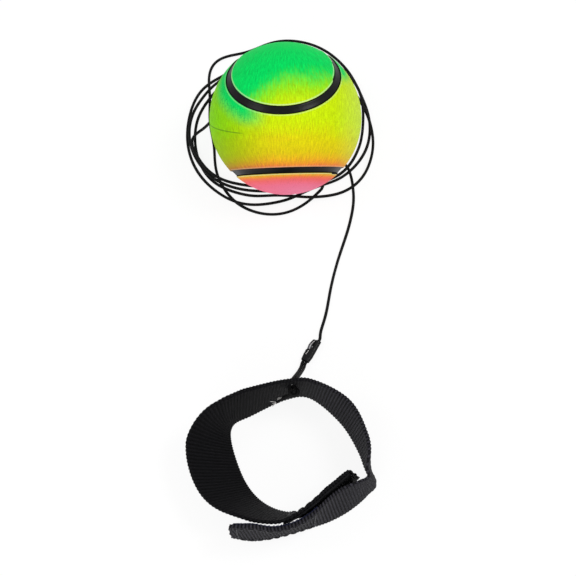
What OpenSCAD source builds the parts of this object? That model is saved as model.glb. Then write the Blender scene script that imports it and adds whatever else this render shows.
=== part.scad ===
// Wrist return ball: a sponge ball on a coiled elastic cord, tied to a webbing wrist strap.
// Millimetres, +Z up, standing on z = 0; the origin is under the middle of the ball and strap.

/* [Ball] */
// Diameter of the sponge ball
ball_d = 60; // [50:1:70]
// Width of the seam groove at the surface
seam_w = 3; // [2:0.5:4]
// How far the seam filling lies below the ball's surface
seam_depth = 0.3; // [0.1:0.1:0.6]
// Angle between the seam's pole and the middle of each lobe
seam_lobe = 68.5; // [66:0.5:72]
// Angular radius of the two lobes round the caps
seam_cap = 45; // [44:0.5:47]
// Diameter of the plug that holds the cord in the ball
plug_d = 7; // [6:0.5:9]
// Length of the plug
plug_len = 8; // [6:1:10]

/* [Cord] */
// Diameter of the elastic cord
cord_d = 1.2; // [1:0.1:1.4]
// Least clear space kept where the cord lies over itself
cord_space = 0.55; // [0.5:0.05:0.8]
// Radial clearance of the cord in its holes
cord_play = 0.05; // [0.03:0.01:0.1]

/* [Strap] */
// Width of the webbing
strap_w = 25; // [22:1:28]
// Thickness of the webbing
strap_t = 1.6; // [1.2:0.1:1.8]
// Diameter of the hole for the tether
tether_hole_d = 3.6; // [3.4:0.1:4.4]
// Height of the tether's hole above the lower edge
tether_hole_z = 17; // [15:0.5:18]

/* [Fastening] */
// Thickness of the hook tape and of the pile tape
tape_t = 0.9; // [0.6:0.1:1]
// Webbing left bare along each long edge of a tape
tape_margin = 1; // [0.5:0.5:3]
// Thickness of the sewing thread
thread_d = 0.5; // [0.3:0.1:0.6]
// Distance from one stitch to the next
stitch_pitch = 3; // [2.5:0.5:4]

/* [Tether] */
// Length of the sleeve on the cord
sleeve_len = 9.8; // [8:0.1:11]
// Length of the sleeve's wide end, which holds two strands
sleeve_wide_len = 5.2; // [4:0.1:6]
// Wall of the sleeve round its holes
sleeve_wall = 0.65; // [0.5:0.05:0.8]

/* [Hidden] */
$fn = 96;
far = 200;
hair = 0.02;
cord_r = cord_d / 2;
floor_z = cord_r + hair;

// Ball, and the direction in which the cord leaves it: low on the left, turned a little away
ball_r = ball_d / 2;
ball_at = [1.5, 66, ball_r];
exit_dir = [-0.88, 0.22, -0.42] / norm([-0.88, 0.22, -0.42]);
seam_turn = [45.8, -2, 1];
seam_belt = acos(-pow(cos(seam_lobe), 2)) - seam_cap;
seam_lap = 0.3;
pole_angle = -63.3;
seam_psi = 180 - acos(cos(seam_lobe) * sin(seam_lobe) / sqrt(1 - pow(cos(seam_lobe), 4)));
plug_inner = ball_r - plug_len;
knot_r = 0.7;
knot_room = 6;

// Coil: reach of the cord from the coil's middle at every sixteenth of a turn, one row a turn,
// counter-clockwise from the left, beginning with the turn nearest the ball
coil_at = [-0.5, 80];
coil_rows = [
    [36.3, 38.5, 38.1, 33.8, 30.9, 30.6, 32.0, 31.8, 31.2, 31.5, 32.5, 33.5, 33.5, 31.5, 30.0, 33.6],
    [37.5, 39.2, 38.8, 35.4, 32.8, 32.6, 35.3, 34.7, 34.2, 35.4, 35.8, 36.4, 36.0, 33.0, 29.8, 31.2],
    [34.9, 37.6, 39.4, 36.8, 34.6, 38.1, 42.5, 40.8, 36.8, 33.9, 34.6, 35.6, 35.2, 33.4, 32.2, 36.5],
    [38.6, 40.5, 41.6, 41.2, 36.6, 33.6, 36.3, 37.6, 37.1, 36.2, 38.0, 39.9, 39.6, 36.8, 40.4, 32.2],
    [29.5, 29.8, 36.2, 41.6, 41.9, 36.5, 30.0, 26.0]
];
coil_reach = [for (row = coil_rows) each row];
coil_first_angle = 1737;
coil_last_angle = 207;
loop_rings = 48;
ring_angle = 360 / loop_rings;

// Sleeve on the table, its two holes side by side
sleeve_end = [9.1, -25.3, 1.45];
sleeve_dir = [0.467, 0.884, 0] / norm([0.467, 0.884, 0]);
sleeve_side = [sleeve_dir.y, -sleeve_dir.x, 0];
sleeve_hole = 0.95;
sleeve_hole_r = cord_r + cord_play / 2;
sleeve_r = sleeve_hole_r + sleeve_wall;
function sleeve_point(across, on) = sleeve_end + sleeve_side * across + sleeve_dir * on;
sleeve_top = sleeve_point(sleeve_hole, sleeve_len);
lead_in_sleeve = 2;

// Lead: from the sleeve to the coil, laid on the table
lead_bends = [
    [15.3, -13], [16.8, -8], [18, -3], [19.2, 4], [20.6, 10.5], [22.6, 18], [25, 25.5], [27, 32], [28.6, 39],
    [29.3, 45], [29, 51], [28.2, 56], [26.5, 60.2], [23.4, 61.4], [20.6, 58.6], [18, 54]
];

// Free stretch from the ball down to the coil
exit_bends = [
    [-28.9, 73.4, 14], [-30.3, 73.2, 11.6], [-32.3, 72.7, 9], [-34.5, 72.1, 7], [-36.2, 70.8, 6],
    [-37, 68.6, 5.5]
];

// Strap stations: x and y of the lower edge, outward lean in degrees, height of the lower edge
band_stations = [
    [25.3, -73.3, 1, 1.1], [17.9, -83.1, -4, 0.4], [4.5, -85.5, 13, 0], [-6.1, -82.2, 26, 0],
    [-13.8, -73.5, 46, 0], [-19.2, -58.9, 41, 0], [-19, -50.9, 10, 0], [-11.6, -46.6, 6, 0],
    [1.5, -40.2, -2, 0], [11.4, -39.7, -3, 0], [23.1, -49.9, 5, 0], [30.1, -62, 3, 0], [32.8, -71.6, 0, 0],
    [35.2, -75.6, 0, 0]
];
flap_stations = [
    [35.2, -75.6, 0, 0], [30.1, -80.3, -4, 0], [24.2, -84.7, -8, 0], [17.6, -88.1, -5, 0],
    [10.6, -90.4, 3, 0], [3.6, -92.5, 7, 0], [-3.6, -94.3, 6, 0], [-10.8, -95.2, 0, 0], [-18.1, -94.1, 1, 0]
];
fold = [35.2, -75.6];
fold_r = strap_t / 2 + 0.5;
foot_cut = 0.2;
station_steps = 5;
hook_from = 3.6;
hook_to = 7.8;
loop_from = 0.2;
loop_to = 2.2;
stitch_inset = 1.5;
stitch_len = stitch_pitch * 0.7;

// Tether: middle of the pair of strands from the sleeve to the strap's hole
hole_u = 8.2;
tether_bends = [[7.6, -28.2, 2.6], [6.7, -30.8, 5.8], [5.8, -33.8, 10.8], [5, -36.5, 15.2]];
pair_half = cord_r + 0.08;
knot_gap = 1.0;
knot_ring_step = 1.15;
tail_rise = [[-0.95, 0.8], [-1.15, 2.4], [-1.45, 4.2]];

// Smooth curve through a list of points or numbers, at place u along it
function entry(list, i) = list[max(0, min(len(list) - 1, i))];
function cubic(a, b, c, d, f) =
    b + (c - a) * f / 2 + (a - 2.5 * b + 2 * c - d / 2) * f * f + (3 * b - a - 3 * c + d) * f * f * f / 2;
function along(list, u) =
    let (k = min(floor(u), len(list) - 2))
    cubic(entry(list, k - 1), entry(list, k), entry(list, k + 1), entry(list, k + 2), u - k);
function smooth(list, steps) = [for (i = [0:(len(list) - 1) * steps]) along(list, i / steps)];

function backward(list) = [for (i = [len(list) - 1:-1:0]) list[i]];

// Plan geometry
function unit(v) = v / norm(v);
function flat(p) = [p.x, p.y];
function turn_of(a, b) = a.x * b.y - a.y * b.x;
function point_gap(p, a, b) =
    let (t = max(0, min(1, ((p - a) * (b - a)) / ((b - a) * (b - a)))))
    norm(p - a - t * (b - a));
function crosses(a, b, c, d) =
    turn_of(b - a, c - a) * turn_of(b - a, d - a) < 0 && turn_of(d - c, a - c) * turn_of(d - c, b - c) < 0;
function plan_gap(a, b, c, d) =
    crosses(a, b, c, d) ? 0 :
    min(point_gap(a, c, d), point_gap(b, c, d), point_gap(c, a, b), point_gap(d, a, b));

// Cord laid on the table: plan of the lead, then of the coil from its outer end to the ball
function coil_point(angle) = coil_at + along(coil_reach, (angle - 180) / 22.5) * [cos(angle), sin(angle)];
coil_steps = round((coil_first_angle - coil_last_angle) / ring_angle);
coil_plan = [for (i = [0:coil_steps]) coil_point(coil_first_angle - i * ring_angle)];
lead_join = coil_plan[0] + cord_d * unit(coil_plan[0] - coil_plan[1]);
lead_points = concat([flat(sleeve_top), flat(sleeve_top + cord_d * sleeve_dir)], lead_bends, [lead_join]);
lead_start = flat(sleeve_point(sleeve_hole, sleeve_len - lead_in_sleeve));
lead_plan = concat([lead_start], smooth(lead_points, 2));
lead_rings = len(lead_plan);
laid_plan = concat(lead_plan, coil_plan);

// Each stretch rests on the table or in a long low hump on the stretches laid before it
hump_rings = 4;
lay_skip = 10;
lay_reach = cord_d + cord_space;
near_plan = 16;
function hump(ring, stretch) = pow(1 - pow(min(1, abs(ring - stretch - 0.5) / (hump_rings + 1)), 2), 2);
function lift_over(k, done) =
    k < 0 || k > len(laid_plan) - 2 ? 0 :
    max([0, for (j = [0:1:k - lay_skip])
        if (norm(laid_plan[k] - laid_plan[j]) < near_plan)
            let (gap = plan_gap(laid_plan[k], laid_plan[k + 1], laid_plan[j], laid_plan[j + 1]))
            if (gap < lay_reach) max(done[j], done[j + 1]) + sqrt(pow(lay_reach, 2) - gap * gap)]);
function lay(i, done, lifts) =
    i == len(laid_plan) ? done :
    let (more = concat(lifts, [lift_over(i + hump_rings, done)]))
    let (near = [max(0, i - hump_rings):min(len(more) - 1, i + hump_rings)])
    let (rise = max([for (k = near) more[k] * hump(i, k)]))
    lay(i + 1, concat(done, [rise]), more);
laid_rise = lay(0, [], [for (k = [0:hump_rings - 1]) 0]);
lead_start_rise = sleeve_top.z - floor_z;
function sleeve_rise(i) = lead_start_rise * pow(max(0, 1 - max(0, i - 2) / 6), 2);
laid = [for (i = [0:len(laid_plan) - 1])
    [laid_plan[i].x, laid_plan[i].y, floor_z + max(laid_rise[i], sleeve_rise(i))]];
coil_path = [for (i = [lead_rings:len(laid) - 1]) laid[i]];
lead_path = concat([for (i = [0:lead_rings - 1]) laid[i]], [coil_path[0]]);
coil_end = coil_path[len(coil_path) - 1];
coil_end_dir = unit(coil_end - coil_path[len(coil_path) - 2]);
function out_of_ball(s) = ball_at + s * exit_dir;
exit_points = concat([out_of_ball(ball_r + 0.8), out_of_ball(ball_r + 2.6)], exit_bends,
                     [coil_end + cord_d * coil_end_dir * 2, coil_end + cord_d * coil_end_dir]);
exit_path = concat([out_of_ball(plug_inner - 4), out_of_ball(plug_inner), out_of_ball(ball_r - 1)],
                   smooth(exit_points, 2), [coil_end]);

// Least gap of the coil to itself, measured at points along the middle of the tube
gap_parts = 3;
coil_fine = [for (i = [0:len(coil_path) - 2]) for (f = [0:gap_parts - 1])
    coil_path[i] + (coil_path[i + 1] - coil_path[i]) * f / gap_parts];
coil_gap = min([for (i = [0:len(coil_fine) - 1]) for (j = [0:1:i - lay_skip * gap_parts])
    norm(coil_fine[i] - coil_fine[j])]) - cord_d;
function run(path) = len(path) < 2 ? 0 : [for (i = [1:len(path) - 1]) norm(path[i] - path[i - 1])]
    * [for (i = [1:len(path) - 1]) 1];
echo(coil_gap = coil_gap, coil_height = max([for (p = coil_path) p.z]) + cord_r);
echo(cord_length = run(lead_path) + run(coil_path) + run(exit_path));

// Tube swept along a path, its rings carried without twist; sides is the number of its flat sides
function heading(path, i) =
    unit(path[min(i + 1, len(path) - 1)] - path[max(i - 1, 0)]);
function square_to(v, t) = unit(v - (v * t) * t);
function carried(path, i, side) =
    i == len(path) ? [] :
    let (now = square_to(side, heading(path, i)))
    concat([now], carried(path, i + 1, now));
module tube(path, radius, sides, first_side = [0, 0, 1]) {
    frames = carried(path, 0, first_side);
    last = len(path) - 1;
    points = [for (i = [0:last]) for (k = [0:sides - 1])
        let (t = heading(path, i), a = 360 * (k + 0.5) / sides)
        path[i] + radius * (cos(a) * frames[i] + sin(a) * cross(t, frames[i]))];
    walls = [for (i = [0:last - 1]) for (k = [0:sides - 1])
        let (a = i * sides + k, b = i * sides + (k + 1) % sides)
        each [[a, a + sides, b], [b, a + sides, b + sides]]];
    end = last * sides;
    caps = [for (k = [1:sides - 2]) each [[0, k, k + 1], [end, end + k + 1, end + k]]];
    polyhedron(points, concat(walls, caps));
}

// Frame of the webbing at place u: foot, direction, way up the wall and way out of the loop
function foot_of(st, u) = let (s = along(st, u)) [s[0], s[1], s[3]];
function run_of(st, u) =
    let (step = 0.01, a = max(0, u - step), b = min(len(st) - 1, u + step))
    unit(foot_of(st, b) - foot_of(st, a));
function out_of(st, u) = let (t = run_of(st, u)) unit([-t.y, t.x, 0]);
function up_of(st, u) =
    let (lean = along(st, u)[2])
    square_to(sin(lean) * out_of(st, u) + cos(lean) * [0, 0, 1], run_of(st, u));
function face_of(st, u) = cross(up_of(st, u), run_of(st, u));
function webbing_point(st, u, up, out) = foot_of(st, u) + up * up_of(st, u) + out * face_of(st, u);

// Strip of webbing or tape between two places and two depths; heights run from its lower to its upper edge
module strip(st, u0, u1, heights, inner, outer) {
    count = round((u1 - u0) * station_steps);
    section = concat([for (h = heights) [h, outer]], [for (h = backward(heights)) [h, inner]]);
    n = len(section);
    points = [for (i = [0:count]) for (c = section)
        webbing_point(st, u0 + (u1 - u0) * i / count, c[0], c[1])];
    walls = [for (i = [0:count - 1]) for (k = [0:n - 1])
        let (a = n * i + k, b = n * i + (k + 1) % n)
        each (2 * k < n ? [[a, a + n, b], [b, a + n, b + n]] : [[a, a + n, b + n], [a, b + n, b]])];
    caps = [for (k = [0:n / 2 - 2]) for (side = [[0, 1], [n * count, 0]])
        let (quad = [for (j = [k, k + 1, n - 2 - k, n - 1 - k]) side[0] + j])
        each side[1] > 0 ? [[quad[0], quad[1], quad[2]], [quad[0], quad[2], quad[3]]]
                         : [[quad[2], quad[1], quad[0]], [quad[3], quad[2], quad[0]]]];
    polyhedron(points, concat(walls, caps));
}
tape_heights = [tape_margin, strap_w - tape_margin];
tape_out = strap_t / 2 + hair;
webbing_heights = concat([-foot_cut], tape_heights, [strap_w - foot_cut]);

// Body standing on the table
module above_table() {
    intersection() {
        children();
        translate([-far / 2, -far, 0]) cube([far, far, far / 2]);
    }
}

module fold_edge(radius, over) {
    translate([fold.x, fold.y, -over]) cylinder(h = strap_w - foot_cut + 2 * over, r = radius);
}

// Bar of thread along a direction
module stitch(at, dir, face) {
    side = cross(dir, face);
    multmatrix([[side.x, face.x, dir.x, at.x], [side.y, face.y, dir.y, at.y], [side.z, face.z, dir.z, at.z]])
        cylinder(h = stitch_len, d = thread_d, center = true, $fn = 16);
}

// Box of stitches round a tape, on the face of the webbing that the tape isn't on
module stitch_box(st, u0, u1, out) {
    low = tape_margin + stitch_inset;
    high = strap_w - tape_margin - stitch_inset;
    span = norm(foot_of(st, u1) - foot_of(st, u0));
    long_count = floor(span / stitch_pitch);
    short_count = floor((high - low) / stitch_pitch);
    for (i = [0:long_count - 1], up = [low, high]) {
        u = u0 + (u1 - u0) * (i + 0.5) / long_count;
        stitch(webbing_point(st, u, up, out), run_of(st, u), face_of(st, u));
    }
    for (i = [0:short_count - 1], u = [u0, u1]) {
        up = low + (high - low) * (i + 0.5) / short_count;
        stitch(webbing_point(st, u, up, out), up_of(st, u), face_of(st, u));
    }
}

// Turns of cord drawn tight round a strand, along +Z
module knot_wraps(core_r) {
    for (i = [0, 1])
        translate([0, 0, -i * knot_ring_step])
            rotate_extrude() translate([core_r + knot_r - hair, 0]) circle(r = knot_r, $fn = 48);
}

module along_exit() {
    translate(ball_at) rotate([0, acos(exit_dir.z), atan2(exit_dir.y, exit_dir.x)]) children();
}

// One lobe of the seam: an arc of more than half a circle on the ball, longer at each end by a lap
module seam_lobe_arc(rho, radius, lap) {
    rotate([-seam_lobe, 0, 0])
        translate([0, 0, ball_r * cos(rho)])
            rotate([0, 0, -90 - seam_psi - lap])
                rotate_extrude(angle = 2 * (seam_psi + lap))
                    translate([ball_r * sin(rho), 0]) circle(r = radius, $fn = 48);
}

// Four tangent lobes, two round the caps and two round the belt's ends; the second pair is a hair
// wider and laps over the ends of the first
module seam_curve(radius) {
    translate(ball_at) rotate(seam_turn) for (half = [0, 180]) {
        rotate([0, 0, half]) seam_lobe_arc(seam_cap, radius, 0);
        rotate([0, 0, half + 90]) rotate([180, 0, 0]) seam_lobe_arc(seam_belt, radius + hair, seam_lap);
    }
}

// The sphere's poles lie in the groove, at two opposite points of the seam
module ball_body() {
    color("greenyellow") difference() {
        translate(ball_at) rotate(seam_turn) rotate([-seam_lobe, 0, 0]) rotate([0, seam_cap, pole_angle])
            sphere(r = ball_r, $fn = 128);
        seam_curve(seam_w / 2);
        along_exit() {
            translate([0, 0, plug_inner]) cylinder(h = far, d = plug_d);
            translate([0, 0, plug_inner - knot_room]) cylinder(h = knot_room + 1, d = plug_d - 1.4);
        }
    }
}

module seam_line() {
    color("black") intersection() {
        seam_curve(seam_w / 2 - 3 * hair);
        translate(ball_at) difference() {
            sphere(r = ball_r - seam_depth, $fn = 128);
            sphere(r = ball_r - seam_w / 2 + 0.2, $fn = 128);
        }
    }
}

module anchor_plug() {
    color("dimgray") difference() {
        intersection() {
            along_exit() translate([0, 0, plug_inner]) cylinder(h = plug_len + 2, d = plug_d - hair);
            translate(ball_at) sphere(r = ball_r, $fn = 128);
        }
        along_exit() cylinder(h = far, r = cord_r + cord_play);
    }
}

module anchor_knot() {
    color("black") along_exit() translate([0, 0, plug_inner - knot_r - 0.6]) knot_wraps(cord_r);
}

module cord_exit() {
    color("black") tube(exit_path, cord_r, 8);
}

module cord_coil() {
    color("black") tube(coil_path, cord_r, 6);
}

module cord_lead() {
    color("black") tube(lead_path, cord_r, 8);
}

module crimp_sleeve() {
    color("black")
        multmatrix([[sleeve_side.x, 0, sleeve_dir.x, sleeve_end.x],
                    [sleeve_side.y, 0, sleeve_dir.y, sleeve_end.y], [0, 1, 0, sleeve_end.z]])
            difference() {
                union() {
                    linear_extrude(sleeve_wide_len) {
                        for (x = [-sleeve_hole, sleeve_hole])
                            translate([x, 0]) circle(r = sleeve_r, $fn = 48);
                        square([2 * sleeve_hole, 2 * sleeve_r], center = true);
                    }
                    translate([sleeve_hole, 0, 0]) cylinder(h = sleeve_len, r = sleeve_r, $fn = 48);
                }
                for (x = [-sleeve_hole, sleeve_hole])
                    translate([x, 0, -1]) cylinder(h = sleeve_len + 2, r = sleeve_hole_r, $fn = 48);
            }
}

// Hole for the tether in the strap's far wall, and the pair of strands through it
hole_up = tether_hole_z / up_of(band_stations, hole_u).z;
hole_at = webbing_point(band_stations, hole_u, hole_up, 0);
hole_out = face_of(band_stations, hole_u);
pair_middle = smooth(concat([sleeve_end - sleeve_dir * cord_d], tether_bends,
                            [hole_at + hole_out * 1.6, hole_at + hole_out * 0.4]), 2);
function pair_side(i) =
    let (t = heading(pair_middle, i))
    i == 0 ? sleeve_side : unit([-t.y, t.x, 0]);
pair_last = len(pair_middle) - 1;
function pair_width(i) = sleeve_hole + (pair_half - sleeve_hole) * min(1, i / (pair_last - 2));
function strand(way) = [for (i = [0:pair_last]) pair_middle[i] + way * pair_width(i) * pair_side(i)];
pair_end = hole_at - hole_out * (strap_t / 2 + knot_gap + 2 * knot_r + knot_ring_step + 0.3);
end_side = unit([hole_out.y, -hole_out.x, 0]);
bight = [for (a = [0:30:180])
    pair_end + pair_half * cos(a) * end_side - pair_half * sin(a) * hole_out];
tail = [for (t = tail_rise) sleeve_point(t[0], sleeve_wide_len + t[1])];
loop_path = concat([for (on = [sleeve_len - lead_in_sleeve - 0.3, 0]) sleeve_point(sleeve_hole, on)],
                   strand(1), bight, backward(strand(-1)),
                   [sleeve_point(-sleeve_hole, 0), sleeve_point(-sleeve_hole, sleeve_wide_len)], tail);

module tether_loop() {
    color("black") tube(loop_path, cord_r, 8);
}

module through_hole() {
    side = unit([hole_out.y, -hole_out.x, 0]);
    rise = cross(hole_out, side);
    multmatrix([[side.x, rise.x, hole_out.x, hole_at.x], [side.y, rise.y, hole_out.y, hole_at.y],
                [side.z, rise.z, hole_out.z, hole_at.z]]) children();
}

module tether_knot() {
    color("black") through_hole()
        translate([0, 0, -strap_t / 2 - knot_gap - knot_r]) knot_wraps(pair_half + cord_r);
}

module strap_band() {
    color([0.12, 0.12, 0.13]) difference() {
        union() {
            above_table()
                strip(band_stations, 0, len(band_stations) - 1, webbing_heights, -strap_t / 2, strap_t / 2);
            fold_edge(fold_r, 0);
        }
        through_hole() cylinder(h = 8, d = tether_hole_d, center = true);
    }
}

module strap_flap() {
    color([0.12, 0.12, 0.13]) difference() {
        above_table()
            strip(flap_stations, 0, len(flap_stations) - 1, webbing_heights, -strap_t / 2, strap_t / 2);
        fold_edge(fold_r + cord_play, 5);
    }
}

module hook_patch() {
    color([0.1, 0.1, 0.14])
        strip(flap_stations, hook_from, hook_to, tape_heights, -tape_out - tape_t, -tape_out);
}

module loop_patch() {
    color([0.09, 0.09, 0.1])
        strip(band_stations, loop_from, loop_to, tape_heights, tape_out, tape_out + tape_t);
}

module hook_stitching() {
    color("black") stitch_box(flap_stations, hook_from + 0.2, hook_to - 0.2, strap_t / 2 + thread_d / 4);
}

module loop_stitching() {
    color("black") stitch_box(band_stations, loop_from + 0.15, loop_to - 0.15, -strap_t / 2 - thread_d / 4);
}

ball_body();
seam_line();
anchor_plug();
anchor_knot();
cord_exit();
cord_coil();
cord_lead();
crimp_sleeve();
tether_loop();
tether_knot();
strap_band();
strap_flap();
hook_patch();
loop_patch();
hook_stitching();
loop_stitching();
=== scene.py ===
"""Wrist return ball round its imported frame: sprayed sponge ball, elastic cord and webbing strap.

Lengths are in millimetres up to the meshes, which are in metres like the frame.
"""

import math

import bmesh
import bpy
import numpy as np
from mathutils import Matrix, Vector
from mathutils.geometry import delaunay_2d_cdt


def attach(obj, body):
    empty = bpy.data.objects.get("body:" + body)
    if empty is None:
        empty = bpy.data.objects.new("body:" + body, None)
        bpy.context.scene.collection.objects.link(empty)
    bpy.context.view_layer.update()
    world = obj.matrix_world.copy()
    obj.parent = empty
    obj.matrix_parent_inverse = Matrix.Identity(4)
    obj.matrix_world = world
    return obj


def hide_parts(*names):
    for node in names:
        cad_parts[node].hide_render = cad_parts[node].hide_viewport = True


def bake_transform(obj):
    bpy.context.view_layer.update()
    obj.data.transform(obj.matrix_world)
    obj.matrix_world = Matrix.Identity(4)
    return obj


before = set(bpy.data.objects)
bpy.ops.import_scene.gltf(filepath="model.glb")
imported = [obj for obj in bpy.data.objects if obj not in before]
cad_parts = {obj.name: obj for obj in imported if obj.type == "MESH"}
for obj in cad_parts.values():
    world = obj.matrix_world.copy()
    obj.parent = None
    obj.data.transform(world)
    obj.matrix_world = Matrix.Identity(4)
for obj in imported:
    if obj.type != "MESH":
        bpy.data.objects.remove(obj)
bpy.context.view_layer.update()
MM = 0.001
UP = np.array([0.0, 0.0, 1.0])
noise_source = np.random.default_rng(7)


def linked(name, data):
    obj = bpy.data.objects.new(name, data)
    bpy.context.scene.collection.objects.link(obj)
    return obj


def aimed(name, data, place, aim):
    """Camera or lamp at a place, turned to look at another."""
    obj = linked(name, data)
    obj.location = place
    obj.rotation_euler = (Vector(aim) - Vector(place)).to_track_quat("-Z", "Y").to_euler()
    return obj


# Camera, at the photograph's viewing angle
PHOTO_SIZE = 576
FOCAL_PX = 1480
LOOK_AT = Vector((0.0025, 0.006, 0.0))
CAMERA_RISE = math.radians(68)
CAMERA_AWAY = 0.590
camera_data = bpy.data.cameras.new("camera")
camera_data.lens = camera_data.sensor_width * FOCAL_PX / PHOTO_SIZE
camera_data.clip_start = 0.01
camera_way = Vector((0, -math.cos(CAMERA_RISE), math.sin(CAMERA_RISE)))
bpy.context.scene.camera = aimed("camera", camera_data, LOOK_AT + CAMERA_AWAY * camera_way, LOOK_AT)


# Curves
def unit(v):
    return v / np.linalg.norm(v)


def along(points, u):
    """Place u on the smooth curve through the points, which stand at u = 0, 1, 2 and so on."""
    last = len(points) - 1
    k = min(int(math.floor(u)), last - 1)
    f = u - k
    a, b, c, d = (points[min(max(i, 0), last)] for i in (k - 1, k, k + 1, k + 2))
    return b + (c - a) * f / 2 + (a - 2.5 * b + 2 * c - d / 2) * f**2 + (3 * b - a - 3 * c + d) * f**3 / 2


def smooth(points, steps):
    """Smooth curve through the points, with a number of steps between each two."""
    points = np.asarray(points, float)
    return np.array([along(points, i / steps) for i in range((len(points) - 1) * steps + 1)])


def lengths_along(path):
    """Length of the path up to each of its points."""
    return np.concatenate([[0], np.cumsum(np.linalg.norm(np.diff(path, axis=0), axis=1))])


def evenly(path, spacing):
    """The path with its points set at even distances."""
    place = lengths_along(path)
    count = max(2, int(round(place[-1] / spacing)))
    want = np.linspace(0, place[-1], count + 1)
    return np.column_stack([np.interp(want, place, path[:, k]) for k in range(3)])


# Route of the cord: the same values as the solids
CORD_D = 1.2
CORD_R = CORD_D / 2
CORD_SPACE = 0.55
HAIR = 0.02
FLOOR_Z = CORD_R + HAIR
BALL_R = 30.0
BALL_AT = np.array([1.5, 66.0, BALL_R])
EXIT_DIR = unit(np.array([-0.88, 0.22, -0.42]))
PLUG_INNER = BALL_R - 8.0
COIL_AT = np.array([-0.5, 80.0])
COIL_ROWS = [
    [36.3, 38.5, 38.1, 33.8, 30.9, 30.6, 32.0, 31.8, 31.2, 31.5, 32.5, 33.5, 33.5, 31.5, 30.0, 33.6],
    [37.5, 39.2, 38.8, 35.4, 32.8, 32.6, 35.3, 34.7, 34.2, 35.4, 35.8, 36.4, 36.0, 33.0, 29.8, 31.2],
    [34.9, 37.6, 39.4, 36.8, 34.6, 38.1, 42.5, 40.8, 36.8, 33.9, 34.6, 35.6, 35.2, 33.4, 32.2, 36.5],
    [38.6, 40.5, 41.6, 41.2, 36.6, 33.6, 36.3, 37.6, 37.1, 36.2, 38.0, 39.9, 39.6, 36.8, 40.4, 32.2],
    [29.5, 29.8, 36.2, 41.6, 41.9, 36.5, 30.0, 26.0],
]
COIL_REACH = np.concatenate(COIL_ROWS)
COIL_START = 180
COIL_STEP = 22.5
COIL_FIRST = 1737
COIL_LAST = 207
RING_ANGLE = 7.5
SLEEVE_END = np.array([9.1, -25.3, 1.45])
SLEEVE_DIR = unit(np.array([0.467, 0.884, 0.0]))
SLEEVE_SIDE = np.array([SLEEVE_DIR[1], -SLEEVE_DIR[0], 0.0])
SLEEVE_HOLE = 0.95
SLEEVE_LEN = 9.8
SLEEVE_WIDE = 5.2
LEAD_IN_SLEEVE = 2.0
LEAD_BENDS = [
    [15.3, -13], [16.8, -8], [18, -3], [19.2, 4], [20.6, 10.5], [22.6, 18], [25, 25.5], [27, 32], [28.6, 39],
    [29.3, 45], [29, 51], [28.2, 56], [26.5, 60.2], [23.4, 61.4], [20.6, 58.6], [18, 54],
]
EXIT_BENDS = [
    [-28.9, 73.4, 14], [-30.3, 73.2, 11.6], [-32.3, 72.7, 9], [-34.5, 72.1, 7], [-36.2, 70.8, 6],
    [-37, 68.6, 5.5],
]
HUMP_RINGS = 4
LAY_SKIP = 10
LAY_NEAR = 16
LAY_REACH = CORD_D + CORD_SPACE
LEAD_SLOPE = 6


def sleeve_point(across, on):
    return SLEEVE_END + SLEEVE_SIDE * across + SLEEVE_DIR * on


def out_of_ball(distance):
    return BALL_AT + distance * EXIT_DIR


def turn_of(a, b):
    return a[0] * b[1] - a[1] * b[0]


def point_gap(p, a, b):
    t = min(1.0, max(0.0, float((p - a) @ (b - a) / ((b - a) @ (b - a)))))
    return float(np.linalg.norm(p - a - t * (b - a)))


def plan_gap(a, b, c, d):
    """Least distance between two short stretches, seen from above."""
    first = turn_of(b - a, c - a) * turn_of(b - a, d - a) < 0
    second = turn_of(d - c, a - c) * turn_of(d - c, b - c) < 0
    if first and second:
        return 0.0
    return min(point_gap(a, c, d), point_gap(b, c, d), point_gap(c, a, b), point_gap(d, a, b))


def coil_point(angle):
    """Place on the coil from above, at an angle in degrees that counts whole turns too."""
    reach = along(COIL_REACH, (angle - COIL_START) / COIL_STEP)
    return COIL_AT + reach * np.array([math.cos(math.radians(angle)), math.sin(math.radians(angle))])


def laid_heights(plan):
    """Rise of each ring over the table: long low humps over the stretches laid before it."""
    rise, lifts = [], [0.0] * HUMP_RINGS

    def lift_over(k):
        if k > len(plan) - 2:
            return 0.0
        best = 0.0
        for j in range(0, k - LAY_SKIP + 1):
            if np.linalg.norm(plan[k] - plan[j]) < LAY_NEAR:
                gap = plan_gap(plan[k], plan[k + 1], plan[j], plan[j + 1])
                if gap < LAY_REACH:
                    best = max(best, max(rise[j], rise[j + 1]) + math.sqrt(LAY_REACH**2 - gap**2))
        return best

    for i in range(len(plan)):
        lifts.append(lift_over(i + HUMP_RINGS))
        around = range(max(0, i - HUMP_RINGS), min(len(lifts) - 1, i + HUMP_RINGS) + 1)
        rise.append(max(
            lifts[k] * (1 - min(1, abs(i - k - 0.5) / (HUMP_RINGS + 1)) ** 2) ** 2 for k in around))
    return rise


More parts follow.
